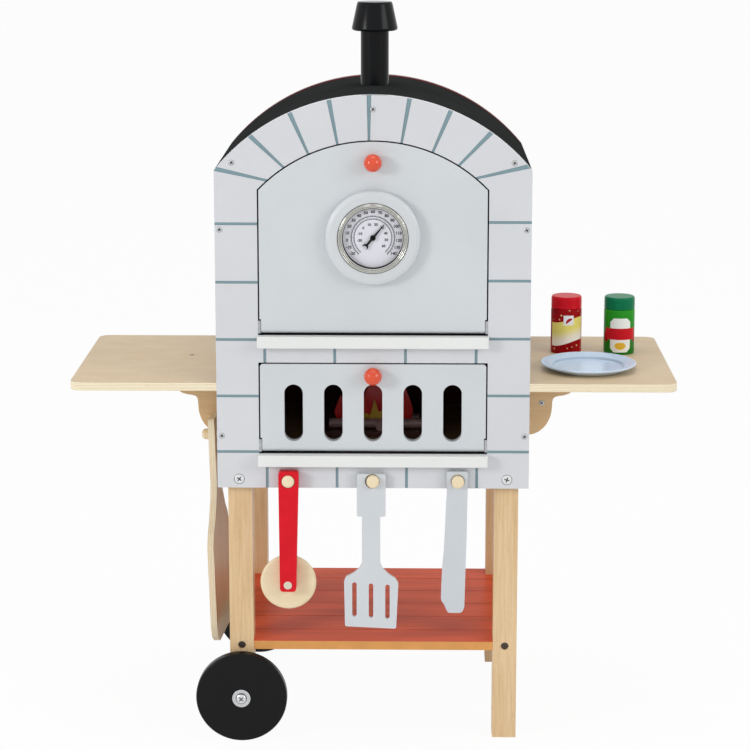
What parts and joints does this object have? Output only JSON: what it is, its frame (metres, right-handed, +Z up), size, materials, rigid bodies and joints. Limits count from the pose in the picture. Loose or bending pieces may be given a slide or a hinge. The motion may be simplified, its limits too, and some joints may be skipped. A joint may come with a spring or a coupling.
{
  "type": "toy oven",
  "caption": "Toy brick oven on a wheeled stand with an arched and a slotted drop-down door, dial, chimney, side shelves, peel, hanging utensils, jars and a plate.",
  "frame": {"origin": "on the floor, at the middle of the outline's width and depth", "axes": "+X to the right seen from the front, +Y to the back, +Z up; the oven's front faces -Y"},
  "size_m": [0.75, 0.3644, 0.923],
  "materials": {
    "light_grey_paint": "satin lacquer on board",
    "door_paint": "satin lacquer on board",
    "ledge_paint": "satin lacquer on wood",
    "dark_red_paint": "satin lacquer on board",
    "shelf_red_paint": "gloss lacquer on board",
    "roof_paint": "gloss lacquer on bent board",
    "black_paint": "gloss lacquer on turned wood",
    "inner_board": "matt stained board",
    "beech": "clear satin lacquer",
    "ply": "clear satin lacquer",
    "peel_wood": "clear satin lacquer",
    "steel_screw": "zinc plated",
    "dark_bolt": "blackened",
    "chrome_bezel": "bright",
    "ring_paint": "satin lacquer on turned wood",
    "dial_print": "printed disc",
    "needle_black": "matt",
    "knob_coral": "gloss lacquer on turned wood",
    "wheel_black": "satin lacquer on wood",
    "cutter_red": "gloss lacquer on wood",
    "cutter_wood": "bare turned wood",
    "rivet_wood": "bare turned wood",
    "spatula_grey": "satin lacquer on board",
    "knife_grey": "satin lacquer on board",
    "jar_red": "printed turned wood",
    "jar_red_cap": "gloss lacquer on turned wood",
    "jar_green": "printed turned wood",
    "jar_green_cap": "gloss lacquer on turned wood",
    "plate_blue": "satin lacquer on turned wood",
    "fire_red": "satin lacquer on board",
    "fire_yellow": "satin lacquer on board",
    "fire_log": "stained wood"
  },
  "bodies": {
    "stand": {"front_panel": "light_grey_paint", "back_panel": "dark_red_paint", "left_side_panel": "light_grey_paint", "right_side_panel": "light_grey_paint", "roof": "roof_paint", "ridge_batten": "beech", "eave_battens": "beech", "oven_floor": "inner_board", "fire_floor": "inner_board", "upper_ledge": "ledge_paint", "lower_ledge": "ledge_paint", "front_left_leg": "beech", "front_right_leg": "beech", "rear_left_leg": "beech", "rear_right_leg": "beech", "lower_shelf": "shelf_red_paint", "left_shelf": "ply", "right_shelf": "ply", "left_bracket": "beech", "right_bracket": "beech", "chimney_pipe": "black_paint", "chimney_cap": "black_paint", "utensil_pegs": "beech", "peel_peg": "beech", "panel_screws": "steel_screw", "frame_bolts": "steel_screw", "rear_bolts": "steel_screw", "leg_bolts": "dark_bolt", "bracket_screw": "steel_screw", "shelf_screws": "steel_screw", "hinge_pivots": "steel_screw", "door_catches": "beech", "axle_bolts": "steel_screw", "axle_spacers": "steel_screw", "axle_washers": "steel_screw", "fire_base": "inner_board", "fire_logs": "fire_log", "red_flame": "fire_red", "yellow_flame": "fire_yellow"},
    "upper_door": {"upper_door": "door_paint", "upper_knob": "knob_coral", "gauge_ring": "ring_paint", "gauge_bezel": "chrome_bezel", "gauge_dial": "dial_print"},
    "needle": {"gauge_needle": "needle_black"},
    "lower_door": {"lower_door": "door_paint", "lower_knob": "knob_coral"},
    "front_wheel": {"front_wheel": "wheel_black"},
    "rear_wheel": {"rear_wheel": "wheel_black"},
    "cutter": {"cutter_handle": "cutter_red", "cutter_rivet": "rivet_wood"},
    "cutter_wheel": {"cutter_wheel": "cutter_wood"},
    "spatula": {"spatula": "spatula_grey"},
    "knife": {"knife": "knife_grey"},
    "peel": {"peel": "peel_wood"},
    "red_jar": {"red_jar": "jar_red", "red_jar_cap": "jar_red_cap"},
    "green_jar": {"green_jar": "jar_green", "green_jar_cap": "jar_green_cap"},
    "plate": {"plate": "plate_blue"}
  },
  "joints": [
    {"name": "upper_door_hinge", "type": "hinge", "parent": "stand", "child": "upper_door", "pos_m": [0, -0.15535, 0.5316], "axis": [1, 0, 0], "range_deg": [0, 90]},
    {"name": "lower_door_hinge", "type": "hinge", "parent": "stand", "child": "lower_door", "pos_m": [0, -0.15535, 0.3821], "axis": [1, 0, 0], "range_deg": [0, 90]},
    {"name": "needle_turn", "type": "hinge", "parent": "upper_door", "child": "needle", "pos_m": [0, -0.16695, 0.646], "axis": [0, 1, 0], "range_deg": [-170, 90]},
    {"name": "front_wheel_spin", "type": "hinge", "parent": "stand", "child": "front_wheel", "pos_m": [-0.166, -0.1594, 0.0575], "axis": [0, 1, 0], "continuous": true},
    {"name": "rear_wheel_spin", "type": "hinge", "parent": "stand", "child": "rear_wheel", "pos_m": [-0.166, 0.1691, 0.0575], "axis": [0, 1, 0], "continuous": true},
    {"name": "cutter_swing", "type": "hinge", "parent": "stand", "child": "cutter", "pos_m": [-0.105, -0.16775, 0.3415], "axis": [0, 1, 0], "range_deg": [-12, 12]},
    {"name": "cutter_wheel_spin", "type": "hinge", "parent": "cutter", "child": "cutter_wheel", "pos_m": [-0.106, -0.15835, 0.208], "axis": [0, 1, 0], "continuous": true},
    {"name": "spatula_swing", "type": "hinge", "parent": "stand", "child": "spatula", "pos_m": [0, -0.16665, 0.3415], "axis": [0, 1, 0], "range_deg": [-8, 8]},
    {"name": "knife_swing", "type": "hinge", "parent": "stand", "child": "knife", "pos_m": [0.105, -0.16665, 0.3415], "axis": [0, 1, 0], "range_deg": [-10, 10]},
    {"name": "peel_swing", "type": "hinge", "parent": "stand", "child": "peel", "pos_m": [-0.2086, -0.03115, 0.366], "axis": [0.9964, -0.0784, 0.0314], "range_deg": [-6, 12]},
    {"name": "red_jar_lift", "type": "slide", "parent": "stand", "child": "red_jar", "axis": [0, 0, 1], "range_m": [0, 0.12]},
    {"name": "green_jar_lift", "type": "slide", "parent": "stand", "child": "green_jar", "axis": [0, 0, 1], "range_m": [0, 0.12]},
    {"name": "plate_lift", "type": "slide", "parent": "stand", "child": "plate", "axis": [0, 0, 1], "range_m": [0, 0.12]}
  ]
}
